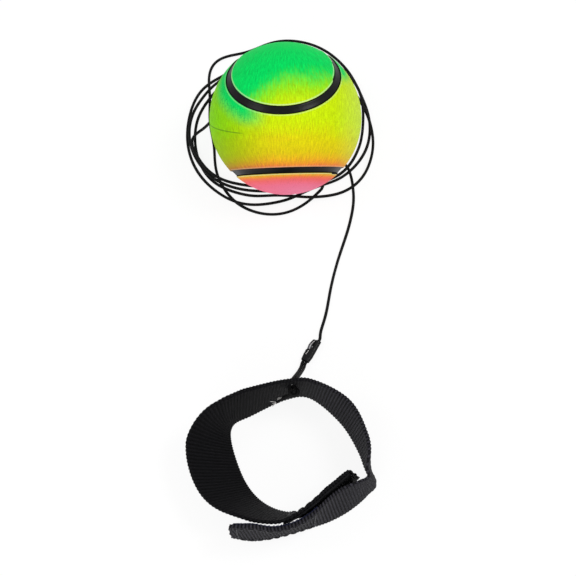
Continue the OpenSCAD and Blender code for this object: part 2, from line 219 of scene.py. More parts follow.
def cord_route():
    """Points along the middle of the cord, from the ball's plug to the sleeve."""
    steps = round((COIL_FIRST - COIL_LAST) / RING_ANGLE)
    coil = [coil_point(COIL_FIRST - i * RING_ANGLE) for i in range(steps + 1)]
    sleeve_top = sleeve_point(SLEEVE_HOLE, SLEEVE_LEN)
    join = coil[0] + CORD_D * unit(coil[0] - coil[1])
    lead = [sleeve_top[:2], (sleeve_top + CORD_D * SLEEVE_DIR)[:2], *LEAD_BENDS, join]
    start = sleeve_point(SLEEVE_HOLE, SLEEVE_LEN - LEAD_IN_SLEEVE)[:2]
    plan = np.array([start, *smooth(lead, 2), *coil])
    rise = laid_heights(plan)
    start_rise = sleeve_top[2] - FLOOR_Z
    for i in range(len(rise)):
        rise[i] = FLOOR_Z + max(rise[i], start_rise * max(0, 1 - max(0, i - 2) / LEAD_SLOPE) ** 2)
    laid = np.column_stack([plan, rise])
    end, end_dir = laid[-1], unit(laid[-1] - laid[-2])
    exit_points = [out_of_ball(BALL_R + 0.8), out_of_ball(BALL_R + 2.6), *EXIT_BENDS,
                   end + 2 * CORD_D * end_dir, end + CORD_D * end_dir]
    inside = [out_of_ball(reach) for reach in (PLUG_INNER - 1, PLUG_INNER + 3, BALL_R - 1)]
    return np.array([*inside, *smooth(exit_points, 2), *laid[::-1]])


def softened(path, rounds):
    """The path with small kinks eased, its ends kept."""
    path = path.copy()
    for _ in range(rounds):
        path[1:-1] = 0.5 * path[1:-1] + 0.25 * (path[:-2] + path[2:])
    return path


# Meshes
def new_object(name, verts, faces, uvs=None):
    """Smooth mesh object from points in metres; uvs gives one pair of numbers a vertex."""
    mesh = bpy.data.meshes.new(name)
    mesh.from_pydata(verts, [], faces, shade_flat=False)
    mesh.validate()
    if uvs is not None:
        layer = mesh.uv_layers.new(name="place")
        index = np.empty(len(mesh.loops), np.int32)
        mesh.loops.foreach_get("vertex_index", index)
        layer.data.foreach_set("uv", np.asarray(uvs, np.float32)[index].ravel())
    return linked(name, mesh)


def carried_frames(path):
    """Direction and two square sides at each point, carried along without twist."""
    heading = np.gradient(path, axis=0)
    heading /= np.linalg.norm(heading, axis=1)[:, None]
    side = UP if abs(heading[0][2]) < 0.9 else np.array([1.0, 0.0, 0.0])
    sides = []
    for t in heading:
        side = unit(side - (side @ t) * t)
        sides.append(side)
    sides = np.array(sides)
    return heading, sides, np.cross(heading, sides)


def ring_quads(a, b, count):
    """Faces between two closed rings of points, whose numbers start at a and b."""
    return [[a + k, a + (k + 1) % count, b + (k + 1) % count, b + k] for k in range(count)]


END_RING = 0.55


class Shape:
    """Vertices, faces and places of one mesh, gathered piece by piece."""

    def __init__(self):
        self.verts, self.faces, self.uvs, self.count = [], [], [], 0

    def add(self, verts, faces, uvs):
        self.faces += [[i + self.count for i in f] for f in faces]
        self.verts.append(np.asarray(verts, float))
        self.uvs.append(np.asarray(uvs, float))
        self.count += len(verts)
        return self

    def tube(self, path, radii, sides=10, round_ends=0.6):
        """Tube along a path, its ends rounded."""
        path = np.asarray(path, float)
        heading, a, b = carried_frames(path)
        radii = np.broadcast_to(radii, len(path))
        place = lengths_along(path)

        def end_ring(i, way):
            out = way * heading[i] * radii[i] * round_ends
            return path[i] + out, a[i], b[i], radii[i] * END_RING, place[i] + way * radii[i]

        rings = [end_ring(0, -1), *zip(path, a, b, radii, place), end_ring(-1, 1)]
        verts, uvs = [], []
        for centre, u, v, r, s in rings:
            for k in range(sides):
                turn = 2 * math.pi * k / sides
                verts.append(centre + r * (math.cos(turn) * u + math.sin(turn) * v))
                uvs.append((s, k / sides if k <= sides // 2 else 1 - k / sides))
        faces = [q for i in range(len(rings) - 1) for q in ring_quads(i * sides, (i + 1) * sides, sides)]
        faces.append(list(range(sides))[::-1])
        faces.append([(len(rings) - 1) * sides + k for k in range(sides)])
        return self.add(verts, faces, uvs)

    def object(self, name):
        return new_object(name, np.vstack(self.verts) * MM, self.faces, np.vstack(self.uvs))


# Materials
class Paint:
    """One procedural material, or the world; most calls add a node and return its output."""

    def __init__(self, name, kind="materials", shader="BSDF_PRINCIPLED"):
        self.owner = getattr(bpy.data, kind).new(name)
        self.owner.use_nodes = True
        self.tree = self.owner.node_tree
        self.shader = next(n for n in self.tree.nodes if n.type == shader)

    def put(self, socket, value):
        if isinstance(value, bpy.types.NodeSocket):
            self.tree.links.new(value, socket)
        else:
            socket.default_value = (*value, 1.0) if socket.type == "RGBA" else value

    def node(self, kind, *inputs, **settings):
        """New node, its first inputs filled or linked."""
        made = self.tree.nodes.new(kind)
        for key, value in settings.items():
            setattr(made, key, value)
        for socket, value in zip(made.inputs, inputs):
            self.put(socket, value)
        return made

    def math(self, operation, *values):
        return self.node("ShaderNodeMath", *values, operation=operation).outputs[0]

    def weighted(self, *parts):
        """Sum of values, each times its weight."""
        total = 0.0
        for value, weight in parts:
            total = self.math("MULTIPLY_ADD", value, weight, total)
        return total

    def product(self, *values):
        total = values[0]
        for value in values[1:]:
            total = self.math("MULTIPLY", total, value)
        return total

    def vector(self, operation, *values):
        made = self.node("ShaderNodeVectorMath", *values, operation=operation)
        return made.outputs["Value" if operation == "DOT_PRODUCT" else "Vector"]

    def spread(self, value, low, high, to_low=0.0, to_high=1.0, linear=False):
        """Value from low to high mapped to to_low to to_high, and held beyond; low may be the larger."""
        kind = "LINEAR" if linear else "SMOOTHSTEP"
        return self.node("ShaderNodeMapRange", value, low, high, to_low, to_high,
                         interpolation_type=kind, clamp=True).outputs[0]

    def place(self):
        """Place along and across, in millimetres, from the mesh."""
        uv = self.node("ShaderNodeUVMap", uv_map="place").outputs[0]
        return self.node("ShaderNodeSeparateXYZ", uv).outputs[:2]

    def body(self):
        return self.node("ShaderNodeTexCoord").outputs["Object"]

    def joined(self, x, y):
        return self.node("ShaderNodeCombineXYZ", x, y).outputs[0]

    def noise(self, where, scale, detail=3.0, roughness=0.55, low=0.0):
        unused_w = 0.0
        made = self.node("ShaderNodeTexNoise", where, unused_w, scale, detail, roughness)
        return self.spread(made.outputs["Fac"], 0.25, 0.75, low, linear=True)

    def wave(self, value, pitch):
        """Sine of a value, from 0 to 1."""
        turned = self.math("SINE", self.product(value, 2 * math.pi / pitch))
        return self.spread(turned, -1.0, 1.0, linear=True)

    def ramp(self, value, stops):
        """Colours along a value; a stop gives its place and a colour in 0 to 255."""
        made = self.node("ShaderNodeValToRGB", value)
        while len(made.color_ramp.elements) < len(stops):
            made.color_ramp.elements.new(0.5)
        for element, (at, *colour) in zip(made.color_ramp.elements, stops):
            element.position = at
            element.color = (*srgb(*colour), 1.0)
        return made.outputs[0]

    def mix(self, factor, a, b):
        made = self.node("ShaderNodeMix", factor, data_type="RGBA")
        for socket, value in zip((s for s in made.inputs if s.type == "RGBA"), (a, b)):
            self.put(socket, value)
        return next(s for s in made.outputs if s.type == "RGBA")

    def bump(self, height, strength, distance):
        made = self.node("ShaderNodeBump")
        for name, value in (("Strength", strength), ("Distance", distance), ("Height", height)):
            self.put(made.inputs[name], value)
        self.put(self.shader.inputs["Normal"], made.outputs[0])

    def finish(self, colour, roughness, specular):
        self.put(self.shader.inputs["Base Color"], colour)
        self.put(self.shader.inputs["Roughness"], roughness)
        self.put(self.shader.inputs["Specular IOR Level"], specular)
        return self.owner


def srgb(r, g, b):
    """Linear colour of a colour in 0 to 255."""
    return tuple(((c / 255 + 0.055) / 1.055) ** 2.4 if c > 10 else c / 255 / 12.92 for c in (r, g, b))


BRAID_PITCH, BRAID_ROWS = 1.1, 5.0


def elastic_material():
    p = Paint("black_elastic")
    length, around = p.place()
    turn = p.product(around, BRAID_ROWS)
    left, right = (p.wave(p.math(way, p.math("DIVIDE", length, BRAID_PITCH), turn), 1.0)
                   for way in ("ADD", "SUBTRACT"))
    braid = p.math("MAXIMUM", left, right)
    fibre = p.noise(p.body(), 5200.0, detail=2.0)
    colour = p.mix(braid, srgb(3, 3, 3), srgb(15, 15, 16))
    p.bump(p.math("ADD", braid, p.product(fibre, 0.3)), 0.6, 0.00012)
    return p.finish(colour, p.spread(fibre, 0.0, 1.0, 0.55, 0.75), 0.12)


def grained_material(name, scale, dark, light, rough, specular, relief=(0.25, 0.0001)):
    """Plain material with a fine grain that its colour and roughness follow."""
    p = Paint(name)
    grain = p.noise(p.body(), scale)
    p.bump(grain, *relief)
    colour = p.mix(grain, srgb(*dark), srgb(*light))
    return p.finish(colour, p.spread(grain, 0.0, 1.0, *rough), specular)


def dressed(obj, material):
    obj.data.materials.clear()
    obj.data.materials.append(material)
    return obj


ELASTIC = elastic_material()

# Elastic cord, from the plug in the ball to the sleeve
cord_path = evenly(softened(smooth(cord_route(), 3), 4), 0.9)
thickness = CORD_R * (1 + 0.03 * np.sin(np.linspace(0, 160, len(cord_path))))
cord_shape = Shape().tube(cord_path, thickness, sides=12)
elastic_cord = dressed(cord_shape.object("elastic_cord"), ELASTIC)
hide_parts("cord_exit", "cord_coil", "cord_lead")
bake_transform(elastic_cord)

# Webbing strap: stations as in the solids, the band and then the flap in one run.
# Each gives x, y, the lean in degrees and the height of the foot.
STRAP_W = 25.0
STRAP_HALF = 0.8
FOOT_CUT = 0.2
BAND = [
    [25.3, -73.3, 1, 1.1], [17.9, -83.1, -4, 0.4], [4.5, -85.5, 13, 0], [-6.1, -82.2, 26, 0],
    [-13.8, -73.5, 46, 0], [-19.2, -58.9, 41, 0], [-19, -50.9, 10, 0], [-11.6, -46.6, 6, 0],
    [1.5, -40.2, -2, 0], [11.4, -39.7, -3, 0], [23.1, -49.9, 5, 0], [30.1, -62, 3, 0],
    [32.8, -71.6, 0, 0], [35.2, -75.6, 0, 0],
]
FLAP = [
    [30.1, -80.3, -4, 0], [24.2, -84.7, -8, 0], [17.6, -88.1, -5, 0], [10.6, -90.4, 3, 0],
    [3.6, -92.5, 7, 0], [-3.6, -94.3, 6, 0], [-10.8, -95.2, 0, 0], [-18.1, -94.1, 1, 0],
]
STATIONS = np.array(BAND + FLAP)
FOLD_U = len(BAND) - 1
END_U = len(STATIONS) - 1
HOLE_U = 8.2
HOLE_Z = 17.0
HOLE_R = 1.85
HOLE_PULL = 3.6
HOLE_GONE = 0.35
RIB = 1.27
RIB_STEPS = 6
RIB_SKEW = 0.1
END_SLANT = 4.4
TAPE_LOW, TAPE_HIGH = 1.0, 24.0
HOOK_FROM, HOOK_TO = FOLD_U + 3.6, FOLD_U + 7.8
PILE_FROM, PILE_TO = 0.2, 2.2


def foot_of(u):
    """Foot of the webbing at station u."""
    x, y, _, z = along(STATIONS, u)
    return np.array([x, y, z])


def webbing_frame(u):
    """Foot of the webbing, its run, its way up and its outward face."""
    run = unit(foot_of(min(END_U, u + 0.01)) - foot_of(max(0, u - 0.01)))
    out = unit(np.array([-run[1], run[0], 0.0]))
    lean = math.radians(along(STATIONS, u)[2])
    up = math.sin(lean) * out + math.cos(lean) * UP
    up = unit(up - (up @ run) * run)
    return foot_of(u), run, up, np.cross(up, run)


PLACES = np.linspace(0, END_U, 2101)
LENGTH_RISE = 15.0
PLACE_LENGTHS = lengths_along([foot + LENGTH_RISE * up for foot, _, up, _ in map(webbing_frame, PLACES)])


def u_at(length):
    return float(np.interp(length, PLACE_LENGTHS, PLACES))


def length_at(u):
    return float(np.interp(u, PLACES, PLACE_LENGTHS))


FOLD_LENGTH = length_at(FOLD_U)
LAST_LENGTH = length_at(END_U)


def near(distance, width):
    """1 at no distance, falling to almost 0 at twice the width."""
    return math.exp(-((distance / width) ** 2))


def eased(part):
    part = min(1.0, max(0.0, part))
    return part * part * (3 - 2 * part)


def drift(length, rise, face):
    """How far the soft webbing stands off its stations at a height over its foot."""
    high = rise / STRAP_W
    past = length - FOLD_LENGTH
    pinch = near(past, 5) * high**2 * np.array([-3.7, -1.9, 0.0])
    corner = (1 - high) * (near(past + 4, 4) - near(past - 2, 3)) * np.array([1.0, 0.0, 0.0])
    to_flap = max(0, high) ** 1.5 * np.interp(
        u_at(length), [0.8, 1.5, 1.9, 2.3, 2.9, 3.3, 3.9], [0, 0.6, 1.1, 1.9, 1.7, 0.8, 0])
    first_end = 2.5 * (1 - high) * eased(1 - length / 9)
    last_end = 1.2 * high * eased(1 - (LAST_LENGTH - length) / 14)
    return pinch + corner + (to_flap + first_end + last_end) * face


def on_webbing(length, rise, out):
    """Point at a length along the webbing, a height over its foot and a distance from its middle."""
    foot, _, up, face = webbing_frame(u_at(length))
    return foot + rise * up + out * face + drift(length, rise, face)


def rib_crest(length, rise):
    """Height of the ribs, 0 between them and 1 on top."""
    return abs(math.sin(math.pi * (length - RIB_SKEW * rise) / RIB)) ** 0.7


def ragged(w):
    """Uneven line of a cut end, its corners a little worn."""
    return 0.4 + 0.22 * math.sin(0.7 * w + 1) + 0.15 * math.sin(2.1 * w) - 0.4 * (2 * w / STRAP_W - 1) ** 10


FACE_W = [0.5, 1.4, 2.6, 4.0, 5.4, 6.6, *np.linspace(7.4, 12.2, 13),
          13.0, 14.2, 15.8, 17.5, 19.2, 21.0, 22.6, 23.7, 24.5]
SECTION = [(w, 1.0) for w in FACE_W] + [(STRAP_W - 0.14, 0.72), (STRAP_W, 0.0), (STRAP_W - 0.14, -0.72)]
SECTION += [(w, -1.0) for w in FACE_W[::-1]] + [(0.14, -0.72), (0.0, 0.0), (0.14, 0.72)]
SELVEDGE = 0.6
SCALLOP = 0.18
CUT_RUN = 4


def ribbon(name, start, end, cut_start=False, cut_end=False):
    """Ribbed webbing between two lengths: round ribs that scallop the selvedges."""
    steps = int(round((end - start) / RIB * RIB_STEPS))
    n, flats = len(SECTION), len(FACE_W)

    def opposite(i):
        """Point on the webbing's other face."""
        return i + 2 * (flats + 1 - i % n)

    hole_s, hole_w = length_at(HOLE_U), HOLE_Z + FOOT_CUT
    verts, uvs, to_hole = [], [], []
    for i in range(steps + 1):
        s = start + (end - start) * i / steps
        foot, run, up, face = webbing_frame(u_at(s))
        from_start, from_end = max(0, 1 - (s - start) / CUT_RUN), max(0, 1 - (end - s) / CUT_RUN)
        for w, side in SECTION:
            crest = rib_crest(s, w) * (1 - 0.6 * near(s - FOLD_LENGTH - 4, 9))
            half = STRAP_HALF * (0.6 + 0.4 * crest) * (1 - 0.5 * cut_start * eased(1 - (s - start) / 2))
            rim = max(0.0, abs(w - STRAP_W / 2) - STRAP_W / 2 + SELVEDGE) / SELVEDGE
            rise = w - math.copysign(rim * SCALLOP * (1 - crest), w - STRAP_W / 2) - FOOT_CUT
            slant = END_SLANT * (1 - w / STRAP_W) * max(0, 1 - (s - start) / (2 * END_SLANT))
            shift = cut_end * from_end * ragged(w) - cut_start * (from_start * (ragged(w) - 1.0) + slant)
            away = math.hypot(s - hole_s, w - hole_w)
            if away < HOLE_PULL:
                grow = (HOLE_R + away * (HOLE_PULL - HOLE_R) / HOLE_PULL - away) / max(away, 0.01)
                shift += (s - hole_s) * grow
                rise += (w - hole_w) * grow
            to_hole.append(away)
            place = foot + shift * run + rise * up + side * half * face + drift(s, w, face)
            place[2] = max(place[2], HAIR)
            verts.append(place)
            uvs.append((s, w))
    faces, gone = [], []
    for i in range(steps):
        for quad in ring_quads(i * n, (i + 1) * n, n):
            (gone if min(to_hole[q] for q in quad) < HOLE_GONE else faces).append(quad)
    if gone:
        lost = {frozenset((q[a], q[a - 1])) for q in gone for a in range(4)}
        rims = [(q[a], q[a - 1]) for q in faces for a in range(4)
                if frozenset((q[a], q[a - 1])) in lost and q[a] % n < flats and q[a - 1] % n < flats]
        faces += [[a, b, opposite(b), opposite(a)] for a, b in rims]
    caps = [[k, k + 1, opposite(k + 1), opposite(k)] for k in range(flats - 1)]
    caps.append([flats + k for k in range(-1, 4)])
    caps.append([*(2 * flats + k for k in range(2, 6)), 0])
    faces += [cap[::-1] for cap in caps] + [[steps * n + k for k in cap] for cap in caps]
    return Shape().add(verts, faces, uvs).object(name)


def webbing_material():
    p = Paint("black_webbing")
    length, across = p.place()
    along_rib = p.weighted((length, 1.0), (across, -RIB_SKEW))
    rib = p.math("ABSOLUTE", p.math("SINE", p.product(along_rib, math.pi / RIB)))
    row = p.math("MODULO", p.math("FLOOR", p.math("DIVIDE", along_rib, RIB)), 2.0)
    yarn = p.wave(p.weighted((across, 1.0), (row, 0.31)), 0.62)
    fuzz = p.noise(p.joined(p.product(length, 0.6), across), 2.2, detail=4.0)
    wear = p.noise(p.body(), 90.0, detail=2.0)
    from_fold = p.math("ABSOLUTE", p.math("SUBTRACT", length, FOLD_LENGTH + 2.0))
    # Painted light and shade: rib crests are coloured lighter than the hollows between them, with less
    # contrast near the fold.
    crest = p.math("POWER", rib, p.spread(from_fold, 6.0, 18.0, 0.6, 2.2))
    dots = p.spread(yarn, 0.0, 1.0, p.spread(from_fold, 6.0, 18.0, 0.2, 0.75), 1.0)
    # Painted shade: the webbing is coloured much darker up to station 8, over most of the band's walls, than
    # past station 9.8.
    painted_wall_shade = p.spread(length, length_at(8.0), length_at(9.8), 0.06, 0.4)
    lit = p.product(crest, dots, painted_wall_shade, p.spread(fuzz, 0.0, 1.0, 0.7, 1.1),
                    p.spread(wear, 0.0, 1.0, 0.85, 1.1))
    colour = p.mix(lit, srgb(3, 3, 4), srgb(88, 86, 96))
    p.bump(p.weighted((yarn, 0.7), (fuzz, 0.4)), 0.7, 0.00014)
    return p.finish(colour, p.spread(yarn, 0.0, 1.0, 0.8, 0.65), 0.08)


WEBBING = webbing_material()
split = round(length_at(FOLD_U - 1.0) / RIB) * RIB
strap_webbing = dressed(ribbon("strap_webbing", 0.0, split, cut_start=True), WEBBING)
flap_webbing = dressed(ribbon("flap_webbing", split, LAST_LENGTH, cut_end=True), WEBBING)
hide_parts("strap_band")
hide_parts("strap_flap")
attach(strap_webbing, "strap")
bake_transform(flap_webbing)


def tape_grid(shape, u0, u1, base, top, step, rough):
    """Strip of tape on the webbing, from base to top, its open face roughened."""
    s0, s1 = length_at(u0), length_at(u1)
    count, rows = int((s1 - s0) / step), int((TAPE_HIGH - TAPE_LOW) / step)
    verts, uvs = [], []
    for layer in (base, top):
        for i in range(count + 1):
            s = s0 + (s1 - s0) * i / count
            for k in range(rows + 1):
                w = TAPE_LOW + (TAPE_HIGH - TAPE_LOW) * k / rows
                lift = rough * noise_source.normal() * math.copysign(1, top - base) if layer == top else 0.0
                verts.append(on_webbing(s, w, layer + lift))
                uvs.append((s, w))
    m, sheet = rows + 1, (count + 1) * (rows + 1)
    faces = []
    for i in range(count):
        for k in range(rows):
            q = [i * m + k, i * m + k + 1, (i + 1) * m + k + 1, (i + 1) * m + k]
            faces += [q, [sheet + j for j in q[::-1]]]
        for k in (0, rows):
            q = [i * m + k, (i + 1) * m + k, sheet + (i + 1) * m + k, sheet + i * m + k]
            faces.append(q if k else q[::-1])
    for k in range(rows):
        for i in (0, count):
            q = [i * m + k, i * m + k + 1, sheet + i * m + k + 1, sheet + i * m + k]
            faces.append(q[::-1] if i else q)
    shape.add(verts, faces if top < base else [f[::-1] for f in faces], uvs)


HOOK_BEND = [(0, 0), (0.05, 0.55), (0.3, 0.95), (0.7, 0.9), (0.85, 0.6)]
HOOK_STEP, HOOK_ROW = 1.5, 1.25
HOOK_R = 0.09


def hook_rows(shape, u0, u1, base, top):
    """Rows of small bent hooks on the tape, 1 mm inside its edges; each row leans the other way."""
    s0, s1 = length_at(u0) + 1, length_at(u1) - 1
    for i in range(int((s1 - s0) / HOOK_STEP) + 1):
        for k in range(int((TAPE_HIGH - TAPE_LOW - 2) / HOOK_ROW) + 1):
            s, w = s0 + HOOK_STEP * i + 0.1 * noise_source.normal(), TAPE_LOW + 1 + HOOK_ROW * k
            lean = 0.5 if k % 2 else -0.5
            _, run, _, _ = webbing_frame(u_at(s))
            path = [on_webbing(s, w, base + (top - base) * b) + lean * a * run for a, b in HOOK_BEND]
            shape.tube(path, HOOK_R, sides=4)


def tape_material(name, dark, light):
    p = Paint(name)
    grain = p.noise(p.body(), 2600.0, detail=4.0, roughness=0.7)
    patch = p.noise(p.body(), 300.0, detail=2.0)
    p.bump(grain, 0.8, 0.00012)
    mixed = p.product(grain, p.spread(patch, 0.0, 1.0, 0.6, 1.1))
    return p.finish(p.mix(mixed, srgb(*dark), srgb(*light)), 0.72, 0.12)


hook_shape = Shape()
tape_grid(hook_shape, HOOK_FROM, HOOK_TO, -0.82, -1.2, 0.8, 0.02)
hook_rows(hook_shape, HOOK_FROM, HOOK_TO, -1.18, -1.66)
hook_paint = tape_material("hook_tape", (9, 10, 20), (40, 44, 76))
hook_tape = dressed(hook_shape.object("hook_tape_rows"), hook_paint)
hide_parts("hook_patch")
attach(hook_tape, "flap")
pile_shape = Shape()
tape_grid(pile_shape, PILE_FROM, PILE_TO, 0.82, 1.6, 0.42, 0.1)
pile_paint = tape_material("pile_tape", (4, 4, 5), (20, 20, 23))
pile_tape = dressed(pile_shape.object("pile_tape_nap"), pile_paint)
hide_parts("loop_patch")
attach(pile_tape, "strap")

STITCH_INSET, STITCH_STRAY = 1.5, 0.08
STITCH_STEP, STITCH_HALF = 3, 1.15
THREAD_R = 0.24


def stitch_box(name, u0, u1, way):
    """Box of thread stitches round a tape, on the webbing's other face."""
    shape = Shape()
    low, high = TAPE_LOW + STITCH_INSET, TAPE_HIGH - STITCH_INSET
    s0, s1 = length_at(u0) + STITCH_INSET, length_at(u1) - STITCH_INSET

    def stitch(s, w, ds, dw):
        places = np.linspace(-1, 1, 9)
        path = [on_webbing(s + ds * t, w + dw * t, way * (STRAP_HALF + 0.16 - 0.5 * abs(t) ** 5))
                for t in places]
        shape.tube(path, [THREAD_R * (1 - 0.25 * abs(t)) for t in places], sides=8)

    def stray():
        return STITCH_STRAY * noise_source.normal()

    long_count, short_count = int((s1 - s0) // STITCH_STEP), int((high - low) // STITCH_STEP)
    for i in range(long_count):
        for w in (low, high):
            stitch(s0 + (s1 - s0) * (i + 0.5) / long_count, w + stray(), STITCH_HALF, 0)
    for i in range(short_count):
        for s in (s0, s1):
            stitch(s + stray(), low + (high - low) * (i + 0.5) / short_count, 0, STITCH_HALF)
    return shape.object(name)


def thread_material():
    p = Paint("black_thread")
    length, around = p.place()
    twist = p.wave(p.math("ADD", p.math("DIVIDE", length, 0.5), p.product(around, 2.0)), 1.0)
    p.bump(twist, 0.7, 0.0001)
    return p.finish(p.mix(twist, srgb(14, 14, 16), srgb(58, 58, 62)), 0.5, 0.4)


THREAD = thread_material()
STITCHES = [("hook_stitches", HOOK_FROM, HOOK_TO, 1, "hook_stitching", "flap"),
            ("pile_stitches", PILE_FROM, PILE_TO, -1, "loop_stitching", "strap")]
for label, u0, u1, way, node, body in STITCHES:
    stitched = dressed(stitch_box(label, u0, u1, way), THREAD)
    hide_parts(node)
    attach(stitched, body)

# Tether: the doubled end of the cord from the sleeve through the strap's far wall
HOLE_FOOT, HOLE_RUN, HOLE_RISE, HOLE_OUT = webbing_frame(HOLE_U)
HOLE_AT = HOLE_FOOT + HOLE_Z / HOLE_RISE[2] * HOLE_RISE
PAIR_HALF = CORD_R + 0.01
TETHER_BENDS = [
    [8.15, -28.2, 2.6], [7.35, -30.8, 5.8], [6.45, -33.8, 10.8], [5.6, -36.3, 14.9], [4.65, -38.2, 16.7],
]
BIGHT_R = 1.75
BIGHT_AT = HOLE_AT - 2.7 * HOLE_OUT + 0.5 * UP
TAIL_RISE = [(-0.98, 0.6), (-1.05, 1.6), (-0.85, 2.9), (-0.5, 4.1)]
KNOT_AT = HOLE_AT - 2.5 * HOLE_OUT
KNOT_TIPS = np.array([[0.6, -44.6, 15.2], [-1.6, -46.6, 15.8]])
KNOT_SIDES = (0.6, -0.5)
FRAY_STRANDS = 7
FRAY_R, GLINT_R = 0.1, 0.14
GLINT_LOW = [(-0.5, 3.6), (-0.75, 2.7), (-1.0, 1.7), (-0.95, 0.8), (-0.75, 0.0), (-0.7, -0.6)]
GLINT_HIGH = [(-0.62, -1.3), (-0.72, -2.1), (-0.9, -2.8)]


def past_wide(places, rise=0.0):
    """Points beside the sleeve, from places across it and past the end of its wide part."""
    return [sleeve_point(across, SLEEVE_WIDE + on) + rise * UP for across, on in places]


def tether_route():
    """Points along the tether: down the sleeve, through the hole, round and back to the cut tail."""
    middle = smooth([SLEEVE_END - CORD_D * SLEEVE_DIR, *TETHER_BENDS, HOLE_AT], 2)
    heading = np.gradient(middle, axis=0)
    sides = [SLEEVE_SIDE, *(unit(np.array([-t[1], t[0], 0.0])) for t in heading[1:])]
    strands = {way: [m + way * PAIR_HALF * s for m, s in zip(middle, sides)] for way in (1, -1)}
    side = unit(np.array([HOLE_OUT[1], -HOLE_OUT[0], 0.0]))
    bight = [BIGHT_AT + BIGHT_R * (math.cos(a) * side - math.sin(a) * HOLE_OUT)
             for a in np.radians(range(0, 181, 30))]
    top = SLEEVE_LEN - LEAD_IN_SLEEVE - 0.3
    start = [sleeve_point(SLEEVE_HOLE, top), sleeve_point(SLEEVE_HOLE, 3), sleeve_point(PAIR_HALF, 0)]
    back = [sleeve_point(-PAIR_HALF, 0), sleeve_point(-0.8, 3), sleeve_point(-0.88, SLEEVE_WIDE)]
    return np.array([*start, *strands[1], *bight, *strands[-1][::-1], *back, *past_wide(TAIL_RISE)])


def knot_turns(centre, axis, reach, depth, radius):
    """Closed turns of a tight overhand knot round an axis."""
    side = unit(np.cross(axis, [0.3, 0.2, 1.0]))
    other = np.cross(axis, side)
    turn = np.linspace(0, 2 * math.pi, 73)[:-1]
    across = np.sin(turn) + 2 * np.sin(2 * turn)
    over = np.cos(turn) - 2 * np.cos(2 * turn)
    lift = -np.sin(3 * turn)
    flat = across[:, None] * side + over[:, None] * other
    path = centre + reach / 3 * flat + depth * lift[:, None] * axis
    return Shape().tube(np.vstack([path, path[:2]]), radius, sides=10)


def sheath_material():
    p = Paint("cut_sheath")
    length, around = p.place()
    # Painted highlight: pale bands along the glossy tail sheath.
    painted_sheen_bands = p.spread(p.wave(p.weighted((around, 2.0), (length, 0.12)), 1.0), 0.55, 0.95)
    cloud = p.noise(p.body(), 900.0)
    p.bump(cloud, 0.3, 0.0001)
    colour = p.mix(painted_sheen_bands, srgb(20, 20, 24), srgb(86, 86, 94))
    return p.finish(colour, p.spread(cloud, 0.0, 1.0, 0.2, 0.34), 0.4)


tether_path = evenly(softened(smooth(tether_route(), 4), 6), 0.45)
tether_shape = Shape().tube(tether_path, CORD_R, sides=12)
tether_cord = dressed(tether_shape.object("tether_cord"), ELASTIC)
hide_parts("tether_loop")
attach(tether_cord, "tether")

turns = knot_turns(KNOT_AT, HOLE_OUT, 1.4, 0.6, 0.56)
fray_and_glint = Shape()
for tip, side in zip(KNOT_TIPS, KNOT_SIDES):
    start = KNOT_AT - 0.6 * HOLE_OUT + side * HOLE_RUN
    bend = 0.5 * (start + tip) + np.array([-0.3, -0.5, 1.0])
    tail = smooth([start, bend, tip], 6)
    turns.tube(tail, CORD_R * 0.9, sides=10)
    heading = unit(tail[-1] - tail[-2])
    fray_and_glint.tube([tip + 0.1 * heading, tip + 0.7 * heading], [0.36, 0.3], sides=8)
    for _ in range(FRAY_STRANDS):
        stray = 0.45 * noise_source.normal(size=3)
        strand = [tip, tip + 1.1 * heading + 0.5 * stray, tip + 2.1 * heading + stray]
        fray_and_glint.tube(smooth(strand, 3), FRAY_R, sides=5)
tether_turns = dressed(turns.object("tether_turns"), ELASTIC)
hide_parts("tether_knot")
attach(tether_turns, "tether")

sheath_path = smooth(past_wide([(-0.9, -0.6), *TAIL_RISE]), 5)
sheath_radii = 0.74 + 0.08 * np.sin(np.linspace(0, 3, len(sheath_path)))
sheath_shape = Shape().tube(sheath_path, sheath_radii, sides=14, round_ends=0.25)
tail_sheath = dressed(sheath_shape.object("tail_sheath"), sheath_material())
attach(tail_sheath, "tether")
# Painted highlight: a thin pale line along the tail and down the sleeve's side stands for a glint, in the
# frayed ends' pale material.
fray_and_glint.tube(smooth(past_wide(GLINT_LOW, 0.72) + past_wide(GLINT_HIGH, 1.14), 4), GLINT_R, sides=6)
fray_and_glint_paint = grained_material(
    "frayed_core_and_glint", 3000.0, (150, 148, 146), (240, 238, 236), (0.6, 0.6), 0.3, relief=(0.4, 0.00005))
frayed_ends_and_glint = dressed(fray_and_glint.object("frayed_ends_and_glint"), fray_and_glint_paint)
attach(frayed_ends_and_glint, "tether")

anchor_shape = knot_turns(out_of_ball(PLUG_INNER - 2.2), EXIT_DIR, 1.6, 0.5, 0.6)
anchor_turns = dressed(anchor_shape.object("anchor_turns"), ELASTIC)
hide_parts("anchor_knot")
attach(anchor_turns, "line")

# Sleeve round the doubled cord, narrow past the place where the tail leaves it
SLEEVE_R = 1.12
DENTS = (1.7, 3.5)
DENT_WIDE, DENT_DEEP = 0.45, 0.05


